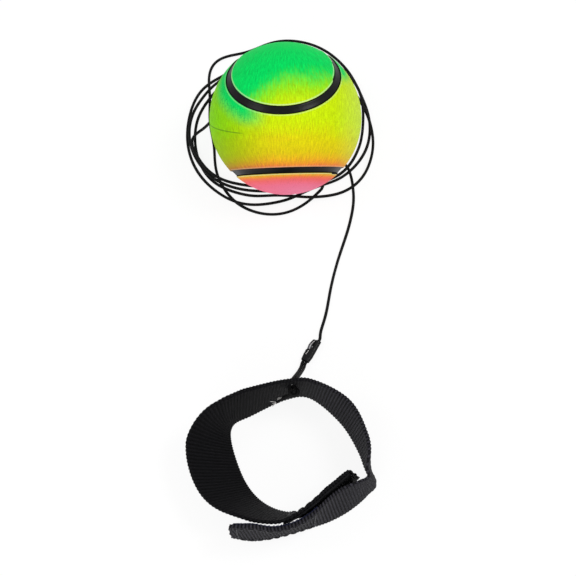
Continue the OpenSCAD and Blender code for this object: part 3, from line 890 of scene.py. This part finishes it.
def sleeve_shape():
    """Two round channels side by side that close to one; a ring gives its place and part of the radius."""
    rings = [(0.35, 0.62), (0.04, 0.74), (0.0, 0.92), (0.14, 1.0)]
    rings += [(on, 1.0) for on in np.linspace(0.5, SLEEVE_LEN - 0.5, 34)]
    rings += [(SLEEVE_LEN - back, part) for back, part in ((0.12, 1.0), (0, 0.93), (0.02, 0.66), (0.8, 0.5))]
    verts, uvs, sides = [], [], 32
    for on, part in rings:
        opened = eased(on / 2.5)
        right = PAIR_HALF + (SLEEVE_HOLE - PAIR_HALF) * opened
        left = -PAIR_HALF - 0.2 * opened
        left += (right - left) * eased((on - SLEEVE_WIDE + 0.9) / 1.7)
        radius = SLEEVE_R * part * (1 - DENT_DEEP * sum(near(on - dent, DENT_WIDE) for dent in DENTS))
        for k in range(sides):
            turn = 2 * math.pi * (k + 0.5) / sides
            across = (right if math.cos(turn) > 0 else left) + radius * math.cos(turn)
            verts.append(sleeve_point(across, on) + radius * math.sin(turn) * UP)
            uvs.append((on, k))
    faces = [[q[0], *q[:0:-1]]
             for i in range(len(rings) - 1) for q in ring_quads(i * sides, (i + 1) * sides, sides)]
    faces.append(list(range(sides)))
    faces.append([(len(rings) - 1) * sides + k for k in range(sides)][::-1])
    return Shape().add(verts, faces, uvs)


sleeve_paint = grained_material("black_sleeve", 1800.0, (5, 5, 7), (17, 17, 20), (0.3, 0.45), 0.14)
sleeve = dressed(sleeve_shape().object("soft_sleeve"), sleeve_paint)
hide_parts("crimp_sleeve")
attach(sleeve, "tether")


# Ball: skin in two panels with a groove between them, worked in the seam's own frame
def turned(axis, degrees):
    c, s = math.cos(math.radians(degrees)), math.sin(math.radians(degrees))
    return np.array({"x": [[1, 0, 0], [0, c, -s], [0, s, c]], "y": [[c, 0, s], [0, 1, 0], [-s, 0, c]],
                     "z": [[c, -s, 0], [s, c, 0], [0, 0, 1]]}[axis])


LOBE_LEAN = 68.5
SEAM_LOBE = math.radians(LOBE_LEAN)
SEAM_CAP = math.radians(45)
SEAM_BELT = math.acos(-math.cos(SEAM_LOBE) ** 2) - SEAM_CAP
SEAM_PSI = math.pi - math.acos(
    math.cos(SEAM_LOBE) * math.sin(SEAM_LOBE) / math.sqrt(1 - math.cos(SEAM_LOBE) ** 4))
SEAM_TURN = turned("z", 1) @ turned("y", -2) @ turned("x", 45.8)
LOBE = turned("x", -LOBE_LEAN)
LOBES = [(LOBE, 1, SEAM_CAP), (turned("z", 90) @ turned("x", 180) @ LOBE, -1, SEAM_BELT),
         (turned("z", 180) @ LOBE, 1, SEAM_CAP), (turned("z", 270) @ turned("x", 180) @ LOBE, -1, SEAM_BELT)]
LOBE_MEET = math.cos(SEAM_LOBE) * (math.sin(SEAM_BELT) - math.sin(SEAM_CAP)) / math.sin(SEAM_CAP + SEAM_BELT)
ROW_POINTS = 150
LOOP = 4 * ROW_POINTS
# Profiles: distance from the middle of the seam or of the cord's exit, and height over the ball
GROOVE = [(0.0, -0.8), (0.9, -0.8), (1.36, -0.8), (1.46, -0.62), (1.53, -0.24), (1.6, -0.07), (1.72, 0.03),
          (1.92, 0.07), (2.2, 0.03), (2.7, 0.0), (3.3, 0.0)]
BEAD = [(-1.49, -0.79), (-1.44, -0.40), (-1.2, -0.36), (-0.7, -0.42), (0.0, -0.45), (0.7, -0.42),
        (1.2, -0.36), (1.44, -0.40), (1.49, -0.79)]
EXIT_RIM = [(4.2, 0.0), (3.8, 0.0), (3.62, -0.06), (3.54, -0.25), (3.52, -8.2)]
EXIT_COUNT = 72
SEAM_CLEAR, EXIT_CLEAR = 3.65, 4.6


def seam_row(offset):
    """Directions along the seam, moved sideways by a distance; the caps are on its plus side."""
    row = []
    for matrix, way, rho in LOBES:
        angles = np.linspace(-SEAM_PSI, SEAM_PSI, ROW_POINTS + 1)[::way][:-1] - math.pi / 2
        rho -= way * offset / BALL_R
        for a in angles:
            row.append(matrix @ [math.sin(rho) * math.cos(a), math.sin(rho) * math.sin(a), math.cos(rho)])
    return np.array(row)


def seam_distance(directions):
    """Distance from the seam, plus on the caps and minus on the belt."""
    to_tops, to_sides = (
        np.arccos(np.clip(np.max([directions @ lobe[:, 2] for lobe, _, _ in lobes], axis=0), -1, 1))
        for lobes in (LOBES[::2], LOBES[1::2]))
    return BALL_R * np.where(directions[:, 2] > LOBE_MEET, SEAM_CAP - to_tops, to_sides - SEAM_BELT)


def even_directions():
    made = bmesh.new()
    bmesh.ops.create_icosphere(made, subdivisions=6, radius=1.0)
    points = np.array([v.co[:] for v in made.verts])
    made.free()
    return points / np.linalg.norm(points, axis=1)[:, None]


def ball_skin():
    """Both panels with the groove between them and the hole by which the cord leaves."""
    exit_dir = SEAM_TURN.T @ EXIT_DIR
    ring_a = unit(np.cross(exit_dir, [0, 0, 1]))
    ring_b = np.cross(exit_dir, ring_a)

    def exit_ring(distance):
        reach, turn = distance / BALL_R, 2 * math.pi * np.arange(EXIT_COUNT) / EXIT_COUNT
        return math.cos(reach) * exit_dir + math.sin(reach) * (
            np.cos(turn)[:, None] * ring_a + np.sin(turn)[:, None] * ring_b)

    directions, radii, faces = [], [], []

    def add_ring(ring, radius):
        directions.extend(ring)
        radii.extend([radius] * len(ring))
        return len(directions) - len(ring)

    profile = [(-d, h) for d, h in GROOVE[:0:-1]] + GROOVE
    starts = [add_ring(seam_row(d), BALL_R + h) for d, h in profile]
    exits = [add_ring(exit_ring(d), BALL_R + h) for d, h in EXIT_RIM]
    for rings, count in ((starts, LOOP), (exits, EXIT_COUNT)):
        for a, b in zip(rings, rings[1:]):
            faces += ring_quads(a, b, count)
    faces.append([exits[-1] + k for k in range(EXIT_COUNT)])
    exit_edge = range(exits[0], exits[0] + EXIT_COUNT)

    spots = even_directions()
    spot_seam = seam_distance(spots)
    clear = np.arccos(np.clip(spots @ exit_dir, -1, 1)) * BALL_R > EXIT_CLEAR
    exit_panel = math.copysign(1, seam_distance(exit_dir[None])[0])
    for panel, rim in ((-1, starts[0]), (1, starts[-1])):
        own = spots[(panel * spot_seam > SEAM_CLEAR) & clear]
        index = [rim + k for k in range(LOOP)]
        edges = [(k, (k + 1) % LOOP) for k in range(LOOP)]
        if panel == exit_panel:
            edges += [(LOOP + k, LOOP + (k + 1) % EXIT_COUNT) for k in range(EXIT_COUNT)]
            index += exit_edge
        index += list(range(add_ring(own, BALL_R), len(directions)))
        found = np.array([directions[i] for i in index])
        flat = found[:, :2] / (1 - panel * found[:, 2])[:, None]
        _, _, triangles, origin, _, _ = delaunay_2d_cdt([Vector(p) for p in flat], edges, [], 1, 1e-7)
        for triangle in triangles:
            corners = [index[origin[i][0]] for i in triangle]
            if any(i not in exit_edge for i in corners):
                faces.append(corners)

    directions, radii = np.array(directions), np.array(radii)
    local = (directions * radii[:, None]) @ SEAM_TURN.T
    obj = new_object("ball_skin", local * MM, faces)
    made = bmesh.new()
    made.from_mesh(obj.data)
    bmesh.ops.recalc_face_normals(made, faces=made.faces)
    made.to_mesh(obj.data)
    made.free()
    seam = obj.data.attributes.new("seam", "FLOAT", "POINT")
    seam.data.foreach_set("value", seam_distance(directions).astype(np.float32))
    obj.location = BALL_AT * MM
    return obj


def seam_filling():
    """Rubber bead that fills the groove, its face hollowed between two thin raised edges."""
    verts = np.vstack([seam_row(d) * (BALL_R + h) for d, h in BEAD]) @ SEAM_TURN.T
    rows = len(BEAD)
    faces = [q[::-1] for r in range(rows) for q in ring_quads(r * LOOP, (r + 1) % rows * LOOP, LOOP)]
    obj = new_object("seam_bead", verts * MM, faces)
    obj.location = BALL_AT * MM
    return obj


PAINT_AXES = [(1.0, 0.0, 0.0), (0.0, 0.927, 0.375), (0.0, -0.375, 0.927)]
GREEN, YELLOW, GOLD = (0, 221, 96), (202, 233, 6), (223, 214, 12)


def on_ball(x, t):
    """Direction on the ball that the camera sees at a place across and up its disc."""
    return np.array([x, t, math.sqrt(1 - x * x - t * t)]) @ PAINT_AXES


PARTING = tuple(unit(np.cross(on_ball(-0.96, -0.125), on_ball(-0.579, -0.27))))


def cap_paint(p, x, t, seam, stir):
    """Caps: green that thins to lime, and a foot from orange to pink."""
    left = p.math("MAXIMUM", p.math("SUBTRACT", 0.25, x), 0.0)
    border = p.weighted((t, 1.0), (p.product(left, left), 0.66), (stir, 1.0))
    top = p.ramp(p.spread(border, 0.1, 0.6, linear=True), [
        (0.0, 200, 231, 10), (0.28, 176, 228, 16), (0.48, 144, 230, 34), (0.64, 104, 228, 60),
        (0.84, 30, 224, 86), (1.0, *GREEN)])
    depth = p.weighted((seam, 1.0), (stir, 9.0))
    foot = p.ramp(p.spread(depth, 1.5, 9.0, linear=True), [
        (0.0, 240, 204, 36), (0.14, 246, 176, 48), (0.32, 254, 132, 78), (0.55, 255, 108, 104),
        (1.0, 255, 110, 132)])
    pink = p.product(p.spread(t, -0.8, -0.97), p.spread(x, -0.5, 0.3, 0.4, 1.0))
    foot = p.mix(pink, foot, srgb(255, 138, 172))
    return p.mix(p.spread(t, -0.5, -0.2), foot, top)


def belt_paint(p, place, x, t, seam, stir):
    """Belt: yellow and gold, orange at the lower seam, green overspray with blots at the upper one, painted
    shade on its left and a painted pale reflection on its right.
    """
    depth = p.weighted((seam, -1.0), (stir, 11.0))
    stirred_t = p.weighted((t, 1.0), (stir, 1.0))
    low = p.ramp(p.spread(depth, 1.5, 13.0, linear=True), [
        (0.0, 248, 110, 86), (0.06, 243, 130, 68), (0.18, 244, 160, 46), (0.36, 238, 187, 32),
        (0.6, 227, 203, 20), (1.0, *GOLD)])
    middle = p.mix(p.spread(stirred_t, -0.46, -0.04), srgb(*GOLD), srgb(*YELLOW))
    belt = p.mix(p.spread(t, -0.4, -0.28), low, middle)
    # Painted shade towards the belt's left side; painted pale reflection towards its right side.
    shaded = p.vector("MULTIPLY", belt, (0.42, 0.86, 0.6))
    belt = p.mix(p.spread(x, -0.05, -0.95), belt, shaded)
    belt = p.mix(p.spread(x, 0.6, 1.0, 0.0, 0.45), belt, srgb(206, 236, 92))
    over_left = p.product(p.spread(x, -0.18, -0.55), p.spread(t, -0.32, -0.08))
    over_right = p.product(p.spread(x, 0.5, 0.66), p.spread(stirred_t, 0.36, 0.54))
    overspray = p.product(p.spread(depth, 10.5, 3.2), p.math("MAXIMUM", over_left, over_right))
    belt = p.mix(overspray, belt, srgb(*GREEN))
    blots = p.product(p.spread(p.noise(place, 46.0, detail=1.0), 0.8, 0.88), overspray, 0.7)
    belt = p.mix(blots, belt, srgb(16, 128, 54))
    drops = p.product(p.spread(p.noise(place, 40.0, detail=1.0), 0.84, 0.9), p.spread(t, -0.14, -0.22),
                      p.spread(t, -0.48, -0.34), p.spread(x, -0.5, -0.3), p.spread(x, 0.35, 0.15), 0.3)
    return p.mix(drops, belt, srgb(242, 170, 30))


def ball_material():
    """Sprayed rubber, its colours run into each other, with painted shade, reflection and highlight over
    them; x runs across the ball and t up it.
    """
    p = Paint("ball_rubber")
    place = p.vector("NORMALIZE", p.body())
    x, t, front = (p.vector("DOT_PRODUCT", place, axis) for axis in PAINT_AXES)
    seam = p.node("ShaderNodeAttribute", attribute_name="seam").outputs["Fac"]
    around = p.math("ARCTAN2", x, front)
    to_pole = p.spread(p.math("ABSOLUTE", t), 0.95, 0.75)

    def strokes(across, up):
        where = p.joined(p.product(around, across), p.product(t, up))
        return p.product(p.noise(where, 1.0, roughness=0.6, low=-1.0), to_pole)

    broad, fine = strokes(26.0, 4.5), strokes(58.0, 11.0)
    cloud = p.noise(place, 2.6, low=-1.0)
    grain = p.noise(place, 75.0, detail=2.0, roughness=0.6, low=-1.0)
    stir = p.weighted((broad, 0.055), (fine, 0.035), (cloud, 0.045), (grain, 0.045))
    on_cap = p.math("GREATER_THAN", seam, 0.0)
    colour = p.mix(on_cap, belt_paint(p, place, x, t, seam, stir), cap_paint(p, x, t, seam, stir))
    colour = p.vector("MULTIPLY", colour, p.math("ADD", p.weighted((fine, 0.24), (grain, 0.12)), 1.0))

    overlap = p.product(p.math("GREATER_THAN", x, 0.6), on_cap, 0.5)
    reach = p.math("SUBTRACT", p.math("ABSOLUTE", seam), overlap)
    # Painted highlight: a thin pale line along both edges of the seam, stronger on the caps.
    painted_lip_glint = p.product(p.spread(p.math("ABSOLUTE", p.math("SUBTRACT", reach, 1.95)), 0.34, 0.12),
                    p.spread(on_cap, 0.0, 1.0, 0.25, 0.5))
    colour = p.mix(painted_lip_glint, colour, srgb(216, 246, 190))
    colour = p.mix(p.spread(reach, 1.72, 1.56), colour, srgb(12, 12, 12))
    parting = p.math("ABSOLUTE", p.vector("DOT_PRODUCT", place, PARTING))
    parting = p.product(p.spread(parting, 0.003, 0.011, 0.65, 0.0), p.spread(x, -0.5, -0.62),
                        p.math("GREATER_THAN", front, 0.0))
    colour = p.mix(parting, colour, srgb(64, 120, 24))
    pores = p.noise(place, 130.0)
    p.bump(p.math("SUBTRACT", pores, parting), 0.2, 0.0002)
    return p.finish(colour, p.spread(pores, 0.0, 1.0, 0.52, 0.66), 0.05)


skin = dressed(ball_skin(), ball_material())
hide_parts("ball_body")
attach(skin, "ball")
seam_paint = grained_material("seam_rubber", 900.0, (6, 6, 6), (17, 17, 17), (0.3, 0.3), 0.12)
bead = dressed(seam_filling(), seam_paint)
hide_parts("seam_line")
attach(bead, "ball")
plug_paint = grained_material("plug_rubber", 900.0, (14, 15, 14), (34, 36, 34), (0.6, 0.6), 0.12)
dressed(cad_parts["anchor_plug"], plug_paint)


# Floor, light and white surroundings
def seen_rays(p, lights, shows):
    """One value for the rays by which a surface lights the object, another for those that show it."""
    rays = p.node("ShaderNodeLightPath").outputs
    seen = p.math("MAXIMUM", rays["Is Camera Ray"], rays["Is Glossy Ray"])
    seen = p.math("MAXIMUM", seen, rays["Is Transmission Ray"])
    return p.spread(seen, 0.0, 1.0, lights, shows, linear=True)


def floor_material():
    p = Paint("floor_white")
    tone = p.noise(p.body(), 3.0)
    p.put(p.shader.inputs["Emission Color"], (1.0, 1.0, 1.0))
    p.put(p.shader.inputs["Emission Strength"], seen_rays(p, 0.0, 0.89))
    pale = p.mix(tone, (0.88, 0.88, 0.88), (0.9, 0.9, 0.9))
    return p.finish(p.mix(seen_rays(p, 0.0, 1.0), pale, (0.13, 0.13, 0.13)), 0.9, 0.0)


floor = new_object("floor", [(-3, -3, 0), (3, -3, 0), (3, 3, 0), (-3, 3, 0)], [(0, 1, 2, 3)])
floor.data.materials.append(floor_material())
LAMPS = [
    ("key", (0.55, 0.1, 0.95), (0, 0.02, 0), 0.4, 4.0), ("fill", (-0.7, 0.0, 0.8), (0, 0.02, 0), 0.4, 1.6),
    ("front", (-0.2, -0.95, 0.5), (0, 0, 0), 0.6, 2.8),
]
for name, place, aim, across, watts in LAMPS:
    light = bpy.data.lights.new(name, "AREA")
    light.shape, light.size, light.energy = "DISK", across, watts
    aimed(name, light, place, aim)
white = Paint("white", "worlds", "BACKGROUND")
white.put(white.shader.inputs["Color"], (1, 1, 1))
white.put(white.shader.inputs["Strength"], seen_rays(white, 0.52, 1.0))
bpy.context.scene.world = white.owner
bpy.context.scene.view_settings.view_transform = "Standard"
